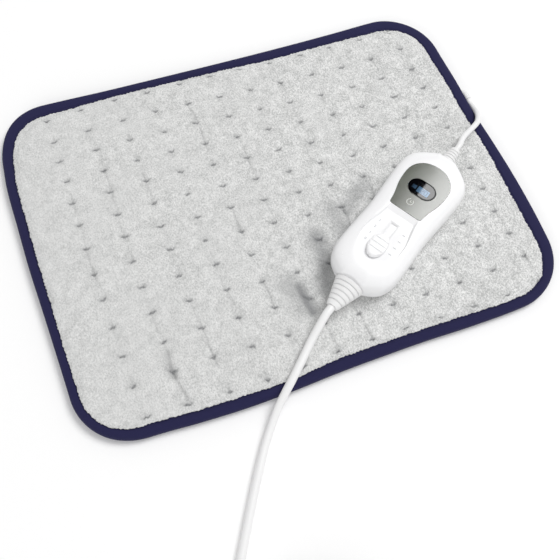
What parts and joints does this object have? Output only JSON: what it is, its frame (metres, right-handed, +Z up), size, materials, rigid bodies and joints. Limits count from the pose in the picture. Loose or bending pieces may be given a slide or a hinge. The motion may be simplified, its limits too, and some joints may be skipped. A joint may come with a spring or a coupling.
{
  "type": "heating pad with controller",
  "caption": "Tufted electric heating pad with a bound edge, and a wired hand controller with a display and a sliding level knob lying on it.",
  "frame": {"origin": "on the floor under the middle of the pad, binding included and cords left out", "axes": "+X along the pad's long side towards the edge where the lead goes in, +Y across it away from the side where the mains lead leaves, +Z up"},
  "size_m": [0.4072, 0.5506, 0.0375],
  "materials": {
    "plush": "soft short plush",
    "backing": "knitted",
    "wadding": "soft",
    "felt": "felted",
    "navy": "satin woven binding",
    "white_shell": "satin gloss",
    "white_cord": "soft satin sheath",
    "grey_green": "satin",
    "smoked": "clear gloss",
    "display": "lit panel",
    "board_green": "solder mask",
    "black_part": "satin",
    "blue_part": "satin",
    "cream": "satin",
    "steel": "satin",
    "copper": "drawn wire"
  },
  "bodies": {
    "pad": {"bottom_cover": "backing", "splice_block": "cream", "lead_tail": "white_cord", "lower_wadding": "wadding", "heater_carrier": "felt", "upper_wadding": "wadding", "heating_wire": "copper", "thermostat_1": "steel", "thermostat_2": "steel", "top_cover": "plush", "pad_cord_gland": "white_cord", "edge_binding": "navy", "mains_cord_boot": "white_cord", "pad_cord_boot": "white_cord", "lower_housing": "white_shell", "face_inlay": "grey_green", "display_window": "smoked", "lcd_module": "display", "lcd_header": "black_part", "slide_switch": "black_part", "upper_housing": "white_shell", "housing_screw_1": "steel", "housing_screw_2": "steel", "housing_screw_3": "steel", "housing_screw_4": "steel", "board_screw_1": "steel", "board_screw_2": "steel", "circuit_board": "board_green", "relay": "black_part", "power_capacitor": "blue_part", "triac": "black_part", "mains_terminal": "cream", "pad_terminal": "cream", "smoothing_capacitor": "blue_part", "fuse": "cream", "mains_tail": "white_cord", "mains_cord_clamp": "black_part", "pad_tail": "white_cord", "pad_cord_clamp": "black_part", "mains_coil": "white_cord", "mains_lead": "white_cord", "plug_lead": "white_cord", "plug_boot": "white_cord", "plug_body": "white_cord", "plug_pin_1": "steel", "plug_pin_2": "steel", "pad_lead": "white_cord"},
    "slider": {"slider_knob": "white_shell", "slider_skirt": "white_shell", "switch_fork": "black_part", "switch_lever": "steel"}
  },
  "joints": [
    {"name": "level_slide", "type": "slide", "parent": "pad", "child": "slider", "axis": [0.848, 0.5299, 0], "range_m": [0, 0.0204]}
  ]
}
